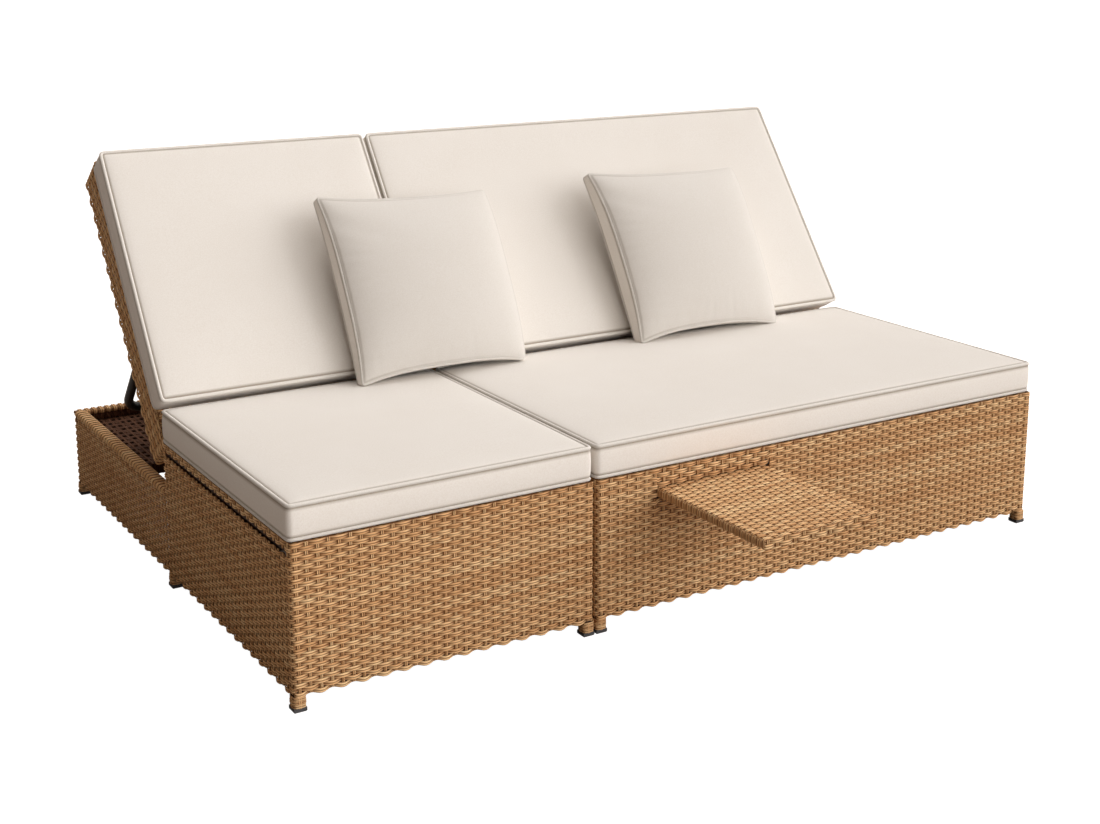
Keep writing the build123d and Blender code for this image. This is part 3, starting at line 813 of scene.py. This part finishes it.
def pipe(points, radius, sides=8):
    """Round cord along a closed loop of points, as vertices and faces."""
    ahead = unit(np.roll(points, -1, axis=0) - np.roll(points, 1, axis=0))
    side = unit(np.cross(ahead, up_z))
    lift = np.cross(side, ahead)
    angles = (np.arange(sides) * 2 * pi / sides)[None, :, None]
    rings = points[:, None] + radius * (np.cos(angles) * side[:, None] + np.sin(angles) * lift[:, None])
    count = len(points)
    here = np.arange(count)[:, None] * sides
    after = np.roll(here, -1, axis=0)
    j = np.arange(sides)
    k = (j + 1) % sides
    faces = np.stack([here + j, here + k, after + k, after + j], axis=-1).reshape(-1, 4)
    return rings.reshape(-1, 3), faces


def smooth_loop(points, times=2):
    """Closed loop with its corners eased."""
    for n in range(times):
        points = (np.roll(points, 1, axis=0) + 2 * points + np.roll(points, -1, axis=0)) / 4
    return points


def soft_piece(name, shell, points, pipe_size, cloths, turn):
    """Piece of a shell, tucked in beside its piping and subdivided once, with the piping."""
    mesh = bpy.data.meshes.new("shell")
    mesh.from_pydata(shell.tuck(points, pipe_size), [], shell.faces)
    # The seam attribute carries the painted crease shade
    attribute(mesh, "seam", shell.painted_crease_shade(pipe_size))
    # Gusset faces take the second cloth, made lighter as painted light
    mesh.polygons.foreach_set("material_index", shell.on_gusset.astype(np.int32))
    shell_object = in_scene("shell", mesh)
    shell_object.modifiers.new("subdivision", "SUBSURF").levels = 1
    result = shell_object.evaluated_get(bpy.context.evaluated_depsgraph_get()).to_mesh()
    all_points = [np.array([vertex.co[:] for vertex in result.vertices])]
    all_faces = [np.array([polygon.vertices[:] for polygon in result.polygons])]
    shade = np.empty(len(all_points[0]), dtype=np.float32)
    result.attributes["seam"].data.foreach_get("value", shade)
    cloth_index = [polygon.material_index for polygon in result.polygons]
    bpy.data.objects.remove(shell_object)
    count = len(all_points[0])
    for seam, sign in zip(shell.seams, (-1.0, 1.0)):
        loop = smooth_loop(points[seam])
        ahead = np.roll(loop, -1, axis=0) - np.roll(loop, 1, axis=0)
        inward = unit(np.cross(up_z, ahead))
        inward *= np.sign((inward * (points[seam].mean(axis=0) - loop)).sum(axis=1))[:, None]
        cord_points, cord_faces = pipe(loop + pipe_size * inward + vec(0, 0, sign * pipe_size), pipe_size)
        all_points.append(cord_points)
        all_faces.append(cord_faces + count)
        count += len(cord_points)
    flat, faces = np.concatenate(all_points), np.concatenate(all_faces)
    piece = mesh_object(name, turned(flat, turn), faces, flat, cloths[0])
    piece.data.materials.append(cloths[1])
    cloth_index += [0] * (len(faces) - len(cloth_index))
    piece.data.polygons.foreach_set("material_index", cloth_index)
    # The seam attribute carries the painted crease shade
    attribute(piece.data, "seam", np.concatenate([shade, np.zeros(len(flat) - len(shade))]))
    return piece


def box_cushion(node, low, high, turn, body, cloths, side_swell=0.0, lower_reach=0.0):
    """Piped box cushion in the box of its solid; all but its seams swells."""
    height = high.z - low.z - cushion_crown / 2
    width = high.x - low.x + 2 * side_swell
    shell = Shell(width, high.y - low.y, height, cushion_corner, cushion_cell, cushion_edge_rows)
    near = np.clip(1 - (shell.points[:, 1] + shell.depth / 2) / back_reach_length, 0, 1)
    share = back_reach_foot + (1 - back_reach_foot) * shell.points[:, 2] / height
    shell.points[:, 1] -= lower_reach * near * share
    points = inflate(shell, cushion_pressure, cushion_crown, cushion_gusset_swell)
    points[:, 2] = np.where(points[:, 2] < 0, underside_share * points[:, 2], points[:, 2])
    middle = ((low.x + high.x) / 2, (low.y + high.y) / 2, low.z + cushion_lift)
    turn = turn @ Matrix.Translation(middle)
    piece = soft_piece(node.replace("cushion", "pad"), shell, points, cushion_pipe, cloths, turn)
    place(piece, body, "fabric", node)


def folds(points):
    """Height of the fine folds that run in from a pillow's seams, mostly from the left."""
    x, y = points[:, 0], points[:, 1]
    height = np.zeros(len(points))
    for along, across, strength in ((x, y, fold_top_share), (y, x, 1.0)):
        gap = pillow_size / 2 - np.abs(across)
        side = np.sign(across)
        slant = along + fold_slant * gap * np.sin(along * fold_slant_pitch + side)
        bend = fold_bend * np.sin(along * fold_bend_pitch + side)
        wave = np.sin(slant * fold_pitch + 3 * side + bend) * np.sin(slant * fold_group_pitch + 1.3 * side)
        rise = 1 - np.exp(-gap / fold_start)
        height += strength * np.clip(1.2 - side, 0.3, 1.6) * wave * np.exp(-gap / fold_reach) * rise
    return fold_height * height


def pull(shell, ears):
    """Draws in a pillow's sides, pulls out its corners and sets its lower front seam on the seat."""
    points = shell.points
    x, y = (np.clip(2 * points[:, axis] / pillow_size, -1, 1) for axis in (0, 1))
    left, right, lower, upper = pillow_draws
    points[:, 0] += (left * (1 - x) / 2 - right * (1 + x) / 2) * (1 - np.abs(y) ** 3)
    points[:, 1] += (lower * (1 - y) / 2 - upper * (1 + y) / 2) * (1 - np.abs(x) ** 3)
    for (side_x, side_y), (ear_x, ear_y) in zip(pillow_corners, ears):
        near = ((1 + side_x * x) / 2 * (1 + side_y * y) / 2) ** 3
        points[:, 0] += near * ear_x
        points[:, 1] += near * ear_y
    front = np.clip(points[:, 2] / shell.height, 0, 1)
    points[:, 1] -= pillow_stand * front * ((1 - y) / 2) ** 4


def throw_pillow(side, body, cloths, joint=None):
    """Throw pillow that leans as its solid does; with a joint, it gets a mesh of its own."""
    gusset = pillow_gussets[side]
    solid = node_points(side + "_pillow")
    middle = (solid.max(axis=0) + solid.min(axis=0)) / 2
    shell = Shell(pillow_size, pillow_size, gusset, pillow_corner, pillow_cell, pillow_edge_rows,
                  pillow_ear_share)
    u, v = (np.clip(1 - (2 * shell.points[:, axis] / pillow_size) ** 2, 0, 1) for axis in (0, 1))
    crease = folds(shell.points)
    pull(shell, pillow_ears[side])
    shell.points[shell.top, 2] += pillow_crown * (u * v)[shell.top] ** pillow_fullness
    shell.points[shell.bottom, 2] -= pillow_crown * (u * v)[shell.bottom] ** pillow_back_fullness
    # The painted crease shade fades from the pillow's left side to its right
    shell.painted_crease_shade_weight = 1 - pillow_painted_crease_shade_fade * np.clip(0.5 + shell.points[:, 0] / pillow_size, 0, 1)
    points = inflate(shell, pillow_pressure, pillow_swell, pillow_gusset_swell, **pillow_cloth)
    points[shell.top, 2] += crease[shell.top]
    points[shell.bottom, 2] -= crease[shell.bottom]
    lean = Matrix.Rotation(pillow_lean, 4, "X") @ Matrix.Translation((0, 0, -gusset / 2))
    turn = Matrix.Translation(middle) @ lean
    piece = soft_piece(side + "_throw_pillow", shell, points, pillow_pipe, cloths, turn)
    place(piece, body, "fabric", side + "_pillow")
    if joint:
        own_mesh(piece)


class Graph:
    """Node tree of a material or world; nodes take outputs as inputs."""

    def __init__(self, owner):
        owner.use_nodes = True
        self.tree = owner.node_tree

    def set(self, node, settings):
        """Gives inputs, by number or name, a value or an output; other names are properties."""
        for key, value in settings:
            if isinstance(key, str) and key not in node.inputs:
                setattr(node, key, value)
            elif isinstance(value, bpy.types.NodeSocket):
                self.tree.links.new(value, node.inputs[key])
            else:
                node.inputs[key].default_value = value

    def add(self, kind, output, *inputs, **settings):
        """Output of a new node; its first inputs come in order and others by name."""
        node = self.tree.nodes.new("ShaderNode" + kind)
        self.set(node, (*settings.items(), *enumerate(inputs)))
        return node.outputs[output]

    def ramp(self, factor, *stops):
        """Colour over a factor."""
        colour = self.add("ValToRGB", "Color", factor)
        elements = colour.node.color_ramp.elements
        while len(elements) < len(stops):
            elements.new(0.5)
        for element, (position, tone) in zip(elements, stops):
            element.position, element.color = position, (*tone, 1.0)
        return colour

    def product(self, first, second):
        """Product of two colours."""
        result = self.add("Mix", 2, data_type="RGBA", blend_type="MULTIPLY", Factor=1.0)
        self.set(result.node, ((6, first), (7, second)))
        return result

    def between(self, factor, low, high, start=0.0):
        """Value from low to high as a factor goes from start to one."""
        return self.add("MapRange", "Result", factor, **{"From Min": start, "To Min": low, "To Max": high})

    def surface(self, **settings):
        """Principled surface; underscores stand for the blanks in its inputs' names."""
        shader = self.tree.nodes["Principled BSDF"]
        self.set(shader, ((key.replace("_", " "), value) for key, value in settings.items()))
        return shader.outputs["BSDF"]

    def noise(self, place, scale, detail, **settings):
        """Noise at a place."""
        return self.add("TexNoise", "Fac", place, Scale=scale, Detail=detail, **settings)

    def bump(self, height, strength, distance):
        """Bumpy normal."""
        return self.add("Bump", "Normal", Height=height, Strength=strength, Distance=distance)


def wicker_material(name, light, middle, dark, painted_hollow_tone):
    """Flat plastic strands: each of its own tone, with streaks, painted shade in the grooves and where strands
    dive, and a satin finish.
    """
    material = bpy.data.materials.new(name)
    graph = Graph(material)
    grain = graph.add("Attribute", "Vector", attribute_name="grain")
    stretch = graph.add("VectorMath", "Vector", grain, streak_stretch, operation="MULTIPLY")
    streaks = graph.noise(stretch, 1.0, 3.0, Roughness=0.6)
    own = graph.add("SeparateXYZ", "Z", grain)
    tone = graph.add("Math", "Value", own, tone_share, streaks, operation="MULTIPLY_ADD")
    strand_painted_shade = graph.add("Attribute", "Fac", attribute_name="strand_painted_shade")
    colours = graph.ramp(tone, (0.37, dark), (0.57, middle), (0.76, light))
    # Painted shade of the grooves and dives, multiplied into the strand colours
    painted_groove_and_dive_shade = graph.ramp(strand_painted_shade, (0.12, painted_hollow_tone), (0.92, white))
    graph.surface(Base_Color=graph.product(colours, painted_groove_and_dive_shade), Normal=graph.bump(streaks, 0.35, 0.0004),
                  Roughness=graph.between(streaks, 0.42, 0.62), Specular_IOR_Level=0.06)
    return material


def fabric_material(name, shade):
    """Off-white woven cloth: crossing yarns, slight mottling, painted shade in the creases beside the seams and a
    soft sheen.
    """
    material = bpy.data.materials.new(name)
    graph = Graph(material)
    grain = graph.add("Attribute", "Vector", attribute_name="grain")
    yarns = [graph.add("TexWave", "Fac", grain, wave_type="BANDS", bands_direction=direction, Scale=260.0,
                       Distortion=1.2, Detail=1.0, **{"Detail Scale": 2.0}) for direction in ("X", "Y")]
    cross = graph.add("Math", "Value", *yarns, operation="MULTIPLY")
    mottle, melange = graph.noise(grain, 6.0, 3.0), graph.noise(grain, 420.0, 2.0)
    tone = graph.add("Math", "Value", mottle, mottle_share, melange, operation="MULTIPLY_ADD")
    # Painted shade in the creases beside the seams
    seam = graph.add("Attribute", "Fac", attribute_name="seam")
    stops = [(stop, tuple(shade * vec(*cloth))) for stop, cloth in zip((0.45, 0.68, 0.9), cloth_tones)]
    painted_crease_shade_colour = graph.ramp(seam, (0.1, white), (0.9, painted_crease_shade_tone))
    graph.surface(Base_Color=graph.product(graph.ramp(tone, *stops), painted_crease_shade_colour), Roughness=0.92,
                  Normal=graph.bump(cross, 0.25, 0.0003), Specular_IOR_Level=0.2, Sheen_Weight=0.15,
                  Sheen_Roughness=0.5)
    return material


def coated_material(name, colour, edge, roughness, metallic=0.0, strength=0.08):
    """Paint, plastic or zinc: slight cloudiness and fine orange peel."""
    material = bpy.data.materials.new(name)
    graph = Graph(material)
    spot = graph.add("TexCoord", "Object")
    clouds, peel = graph.noise(spot, 60.0, 5.0), graph.noise(spot, 1400.0, 2.0)
    graph.surface(Base_Color=graph.ramp(clouds, (0.35, colour), (0.65, edge)), Metallic=metallic,
                  Normal=graph.bump(peel, strength, 0.0003),
                  Roughness=graph.between(clouds, roughness - 0.06, roughness + 0.08))
    return material


def finish_cad_nodes():
    """Materials of the hard pieces whose CAD shape stays."""
    steel = coated_material("brown_coat", (0.05, 0.024, 0.012), (0.075, 0.038, 0.02), 0.68)
    black = coated_material("black_coat", (0.012, 0.013, 0.014), (0.022, 0.023, 0.025), 0.32)
    plastic = coated_material("cap_plastic", (0.05, 0.05, 0.052), (0.07, 0.07, 0.073), 0.55, strength=0.2)
    zinc = coated_material("zinc", (0.42, 0.43, 0.44), (0.58, 0.58, 0.57), 0.35, metallic=1.0)
    finishes = {"frame_steel": steel, "prop_steel": black, "cap_plastic": plastic, "hardware": zinc}
    for part in frame["record"]["subparts"]:
        for slot in nodes[part["node"]].material_slots:
            slot.material = finishes.get(part["material_slot"], slot.material)


def make_floor():
    """Pale floor that glows towards the camera, with a dull patch under the seats."""
    low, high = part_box("left_left_seat_panel")[0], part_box("right_right_seat_panel")[1]
    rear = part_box("left_seat_rear_panel")[0].y
    xs = (-floor_reach, low.x + floor_side_margin, high.x - floor_side_margin, floor_reach)
    ys = (-floor_reach, low.y + floor_front_margin, rear + floor_rear_margin, floor_reach)
    mesh = bpy.data.meshes.new("floor")
    quads = [(j * 4 + i, j * 4 + i + 1, j * 4 + i + 5, j * 4 + i + 4) for j in range(3) for i in range(3)]
    mesh.from_pydata([(x, y, 0) for y in ys for x in xs], [], quads)
    floor = in_scene("floor", mesh)
    for name, glow_strength in (("floor_paint", 1.0), ("floor_under_seats", 0.0)):
        paint = bpy.data.materials.new(name)
        graph = Graph(paint)
        plain = graph.surface(Base_Color=floor_tone, Roughness=0.9)
        glow = graph.add("Emission", "Emission", Strength=glow_strength)
        both = graph.add("AddShader", "Shader", plain, glow)
        seen = graph.add("MixShader", "Shader", graph.add("LightPath", "Is Camera Ray"), plain, both)
        graph.tree.links.new(seen, graph.tree.nodes["Material Output"].inputs["Surface"])
        mesh.materials.append(paint)
    mesh.polygons[4].material_index = 1


def make_lights():
    """Fill that grows from left to right, a white backdrop and three soft suns."""
    world = bpy.data.worlds.new("studio")
    bpy.context.scene.world = world
    graph = Graph(world)
    axis = graph.add("SeparateXYZ", "X", graph.add("TexCoord", "Generated"))
    level = graph.between(axis, left_fill, right_fill, -1.0)
    warmth = graph.ramp(level, (0.0, left_tone), (1.0, right_tone))
    fill = graph.add("Background", "Background", warmth, level)
    backdrop = graph.add("Background", "Background", Strength=1.0)
    seen = graph.add("MixShader", "Shader", graph.add("LightPath", "Is Camera Ray"), fill, backdrop)
    graph.tree.links.new(seen, graph.tree.nodes["World Output"].inputs["Surface"])
    for name, energy, spread, towards in suns:
        sun = bpy.data.lights.new(name, "SUN")
        sun.energy = energy
        sun.angle = radians(spread)
        lamp = in_scene(name, sun)
        lamp.rotation_mode = "QUATERNION"
        lamp.rotation_quaternion = Vector(towards).to_track_quat("Z", "Y")


def make_camera():
    """Camera of the photograph, and plain colours."""
    data = bpy.data.cameras.new("camera")
    data.sensor_width = sensor
    data.lens = focal_pixels / image_width * sensor
    data.shift_y = camera_shift
    camera = in_scene("camera", data)
    camera.location = camera_place
    camera.rotation_euler = (pi / 2 - camera_pitch, 0, -camera_yaw)
    bpy.context.scene.camera = camera
    bpy.context.scene.view_settings.view_transform = "Standard"


make_floor()
make_lights()
make_camera()
tan_wicker = wicker_material("tan_wicker", *tan_tones)
# A darker copy of the wicker, as painted shade for the tray's deck and inner wall
painted_shade_wicker = wicker_material("painted_shade_wicker", *painted_shade_tones)
# Face and gusset cloths; the gusset cloth is made lighter as painted light
cushion_cloths, pillow_cloths = (
    [fabric_material(kind + name, shade) for name, shade in zip(("_cloth", "_painted_light_gusset_cloth"), shades)]
    for kind, shades in (("cushion", cushion_face_and_painted_light_gusset), ("pillow", pillow_face_and_painted_light_gusset)))
finish_cad_nodes()
for module in ("left", "right"):
    seat_box(module, tan_wicker)
    tray_box(module, tan_wicker)
    # The tray's inner wall and deck get the painted-shade copy of the wicker
    tray_rim(module, tan_wicker, painted_shade_wicker)
    tray_deck(module, painted_shade_wicker)
    leg_sleeves(module, tan_wicker)
    seat_back(module, tan_wicker)
    seat_deck(module, tan_wicker)
    box_cushion(module + "_seat_cushion", *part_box(module + "_seat_cushion"), Matrix.Identity(4), "root",
                cushion_cloths)
    box_cushion(module + "_back_cushion", *flat_box(module, "_back_cushion"), back_turn(module),
                module + "_back", cushion_cloths, back_side_swell, back_lower_reach)
table_top(tan_wicker)
throw_pillow("left", "left_pillow", pillow_cloths, "left_pillow_tip")
throw_pillow("right", "right_back", pillow_cloths)
